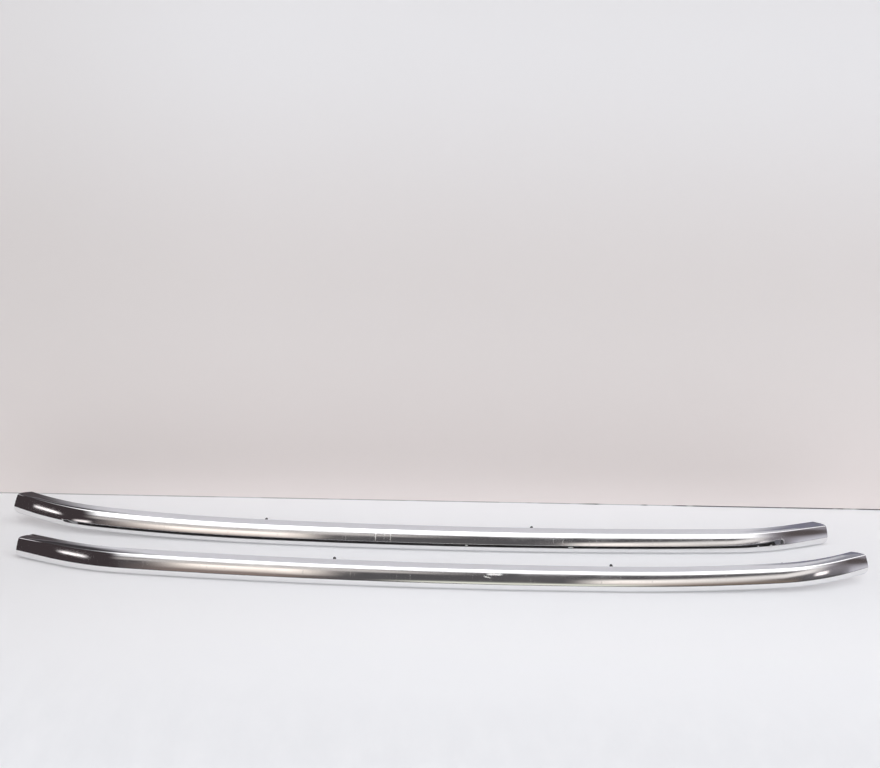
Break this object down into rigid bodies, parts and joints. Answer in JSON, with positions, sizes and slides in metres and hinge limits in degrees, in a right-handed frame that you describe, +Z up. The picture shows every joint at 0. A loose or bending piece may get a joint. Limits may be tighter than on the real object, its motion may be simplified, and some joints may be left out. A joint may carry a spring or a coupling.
{
  "type": "pair of roof rails",
  "caption": "Right and left roof rail for a car: bent, polished aluminium tubes with slanted, plugged ends, a soft strip and threaded studs along the underside, lying on their sides.",
  "frame": {"origin": "middle of the pair's outer box, on the floor that both rails lie on", "axes": "+X along the rails, towards the right rail's front end; +Y the way the undersides and studs point, so the crowns face -Y; +Z up from the floor, from each rail's outer side to its inner side"},
  "size_m": [1.6814, 0.2461, 0.0647],
  "materials": {
    "aluminium": "mirror polished, lightly scuffed",
    "plug_plastic": "moulded, matt",
    "seal_rubber": "matt",
    "stud_steel": "dark coated",
    "nut_steel": "zinc plated"
  },
  "bodies": {
    "root": {"right_rail": "aluminium", "right_front_plug": "plug_plastic", "right_rear_plug": "plug_plastic", "right_roof_seal": "seal_rubber", "right_stud_1": "stud_steel", "right_stud_2": "stud_steel", "right_stud_3": "stud_steel", "right_stud_4": "stud_steel", "right_insert_nut_1": "nut_steel", "right_insert_nut_2": "nut_steel", "right_insert_nut_3": "nut_steel", "right_insert_nut_4": "nut_steel", "right_stud_seal_1": "seal_rubber", "right_stud_seal_2": "seal_rubber", "right_stud_seal_3": "seal_rubber", "right_stud_seal_4": "seal_rubber", "left_rail": "aluminium", "left_front_plug": "plug_plastic", "left_rear_plug": "plug_plastic", "left_roof_seal": "seal_rubber", "left_stud_1": "stud_steel", "left_stud_2": "stud_steel", "left_stud_3": "stud_steel", "left_stud_4": "stud_steel", "left_insert_nut_1": "nut_steel", "left_insert_nut_2": "nut_steel", "left_insert_nut_3": "nut_steel", "left_insert_nut_4": "nut_steel", "left_stud_seal_1": "seal_rubber", "left_stud_seal_2": "seal_rubber", "left_stud_seal_3": "seal_rubber", "left_stud_seal_4": "seal_rubber"}
  },
  "joints": []
}
